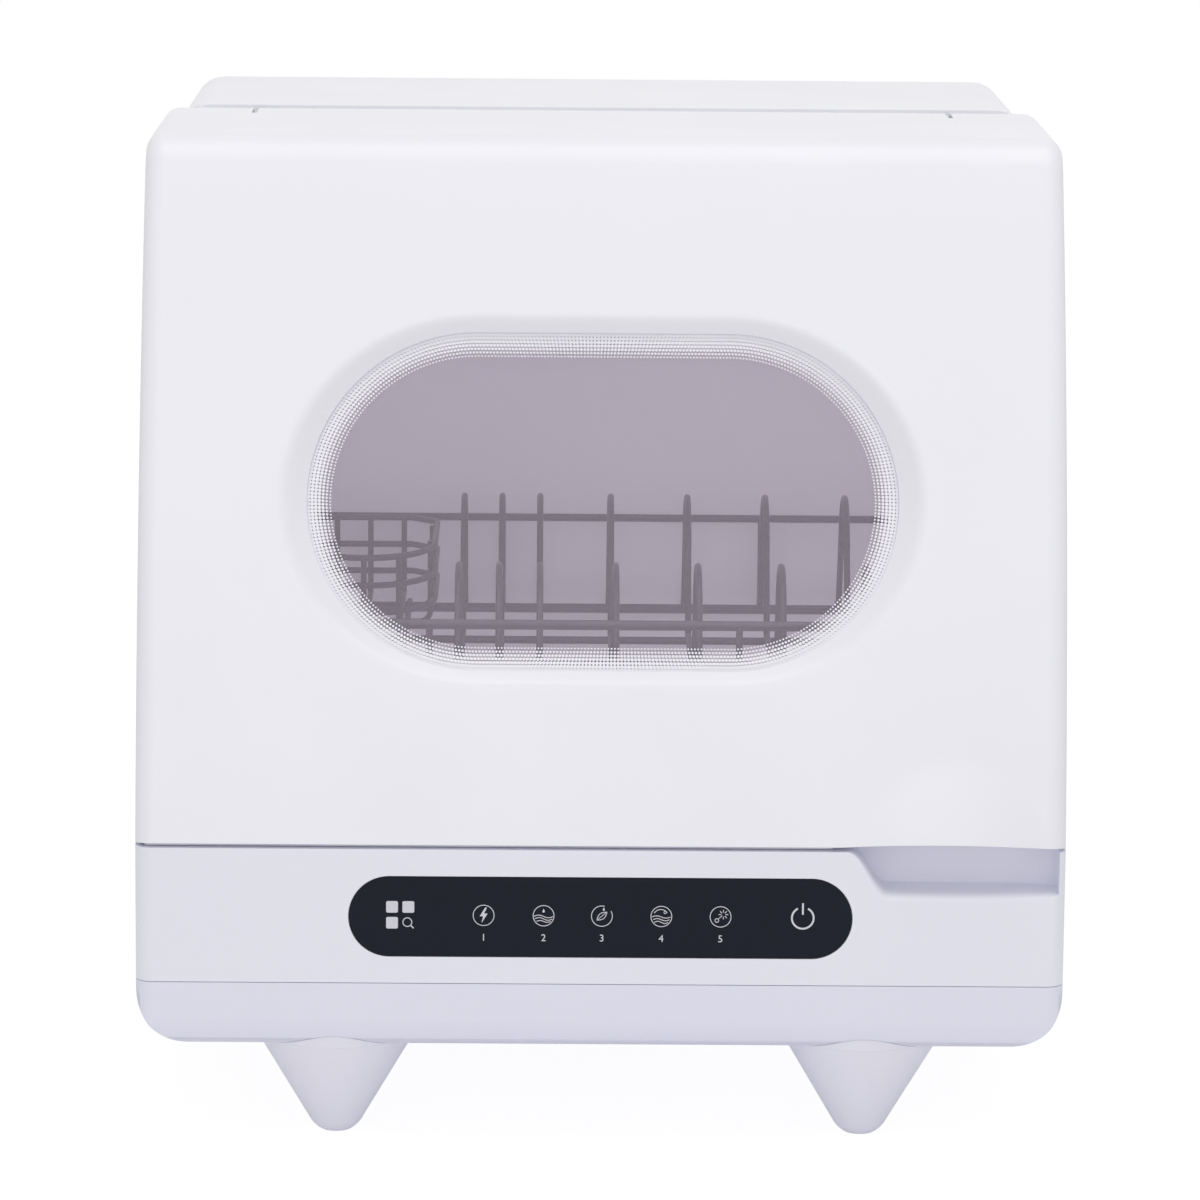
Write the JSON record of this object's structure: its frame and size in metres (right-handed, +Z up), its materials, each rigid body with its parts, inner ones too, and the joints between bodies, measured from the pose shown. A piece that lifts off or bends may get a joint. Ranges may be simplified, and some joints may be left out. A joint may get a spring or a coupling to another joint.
{
  "type": "countertop dishwasher",
  "caption": "Compact countertop dishwasher: curved lift-up hood door with an oval window, slide-out wire rack with cutlery basket, spray arms, pumps and a touch panel, on tapered feet.",
  "frame": {"origin": "middle of the footprint, on the surface the feet stand on", "axes": "+Z up, -Y out of the front with the window, +X to the right seen from the front"},
  "size_m": [0.401, 0.41, 0.4318],
  "materials": {
    "white_abs": "satin white moulding",
    "foot_plastic": "satin pale moulding",
    "pale_polypropylene": "matte pale moulding",
    "tub_plastic": "matte pale moulding",
    "grey_polypropylene": "matte grey moulding",
    "panel_black": "gloss black touch panel",
    "window_glass": "clear toughened glass",
    "seal_rubber": "soft grey seal",
    "hose_rubber": "matte dark hose",
    "steel": "pressed and drawn steel",
    "coated_wire": "grey coated steel wire",
    "motor_winding": "varnished winding",
    "circuit_board": "green board"
  },
  "bodies": {
    "cabinet": {"base_housing": "white_abs", "base_pan": "white_abs", "control_board": "circuit_board", "control_panel": "panel_black", "cord_inlet": "grey_polypropylene", "door_gasket": "seal_rubber", "drain_hose": "hose_rubber", "drain_inlet_hose": "hose_rubber", "drain_outlet": "grey_polypropylene", "drain_pump_housing": "grey_polypropylene", "drain_pump_motor": "motor_winding", "fan_housing": "grey_polypropylene", "fill_hose": "hose_rubber", "float_guide": "grey_polypropylene", "foot_front_left": "foot_plastic", "foot_front_right": "foot_plastic", "foot_rear_left": "foot_plastic", "foot_rear_right": "foot_plastic", "heater": "steel", "left_hinge_bracket": "steel", "left_hinge_pin": "steel", "left_rack_runner": "pale_polypropylene", "left_side_panel": "white_abs", "lower_spray_spindle": "grey_polypropylene", "power_board": "circuit_board", "rear_cover": "white_abs", "right_hinge_bracket": "steel", "right_hinge_pin": "steel", "right_rack_runner": "pale_polypropylene", "right_side_panel": "white_abs", "spray_feed_pipe": "grey_polypropylene", "sump": "grey_polypropylene", "tank_hose": "hose_rubber", "top_cover": "white_abs", "tub": "tub_plastic", "tub_front_frame": "tub_plastic", "upper_spray_spindle": "grey_polypropylene", "wash_inlet_hose": "hose_rubber", "wash_pump_housing": "grey_polypropylene", "wash_pump_motor": "motor_winding", "water_inlet": "grey_polypropylene", "water_tank": "pale_polypropylene"},
    "door": {"door_shell": "white_abs", "door_liner": "pale_polypropylene", "window_glass": "window_glass", "window_gasket": "seal_rubber", "left_hinge_arm": "steel", "right_hinge_arm": "steel"},
    "rack": {"dish_rack": "coated_wire", "cutlery_basket": "coated_wire"},
    "lower_arm": {"lower_spray_arm": "grey_polypropylene"},
    "upper_arm": {"upper_spray_arm": "grey_polypropylene"},
    "filter": {"filter_cup": "grey_polypropylene"},
    "overflow_float": {"float": "pale_polypropylene"},
    "wash_pump_rotor": {"wash_pump_impeller": "grey_polypropylene"},
    "drain_pump_rotor": {"drain_pump_impeller": "grey_polypropylene"},
    "fan": {"fan_rotor": "grey_polypropylene"}
  },
  "joints": [
    {"name": "door_hinge", "type": "hinge", "parent": "cabinet", "child": "door", "pos_m": [0, 0.016, 0.4148], "axis": [-1, 0, 0], "range_deg": [0, 90]},
    {"name": "rack_slide", "type": "slide", "parent": "cabinet", "child": "rack", "axis": [0, -1, 0], "range_m": [0, 0.15]},
    {"name": "lower_arm_spin", "type": "hinge", "parent": "cabinet", "child": "lower_arm", "pos_m": [0, -0.02, 0.158], "axis": [0, 0, 1], "continuous": true},
    {"name": "upper_arm_spin", "type": "hinge", "parent": "cabinet", "child": "upper_arm", "pos_m": [0, 0.055, 0.37], "axis": [0, 0, 1], "continuous": true},
    {"name": "filter_lock", "type": "hinge", "parent": "cabinet", "child": "filter", "pos_m": [0, -0.02, 0.0978], "axis": [0, 0, 1], "range_deg": [0, 90]},
    {"name": "float_lift", "type": "slide", "parent": "cabinet", "child": "overflow_float", "axis": [0, 0, 1], "range_m": [0, 0.008]},
    {"name": "wash_pump_spin", "type": "hinge", "parent": "cabinet", "child": "wash_pump_rotor", "pos_m": [-0.103, -0.02, 0.07], "axis": [0, 0, 1], "continuous": true},
    {"name": "drain_pump_spin", "type": "hinge", "parent": "cabinet", "child": "drain_pump_rotor", "pos_m": [0.103, -0.02, 0.07], "axis": [0, 0, 1], "continuous": true},
    {"name": "fan_spin", "type": "hinge", "parent": "cabinet", "child": "fan", "pos_m": [-0.12, 0.15, 0.36], "axis": [0, 1, 0], "continuous": true}
  ],
  "couplings": [
    {"joint": "rack_slide", "follows": "door_hinge", "m_per_rad": 0.0954}
  ]
}
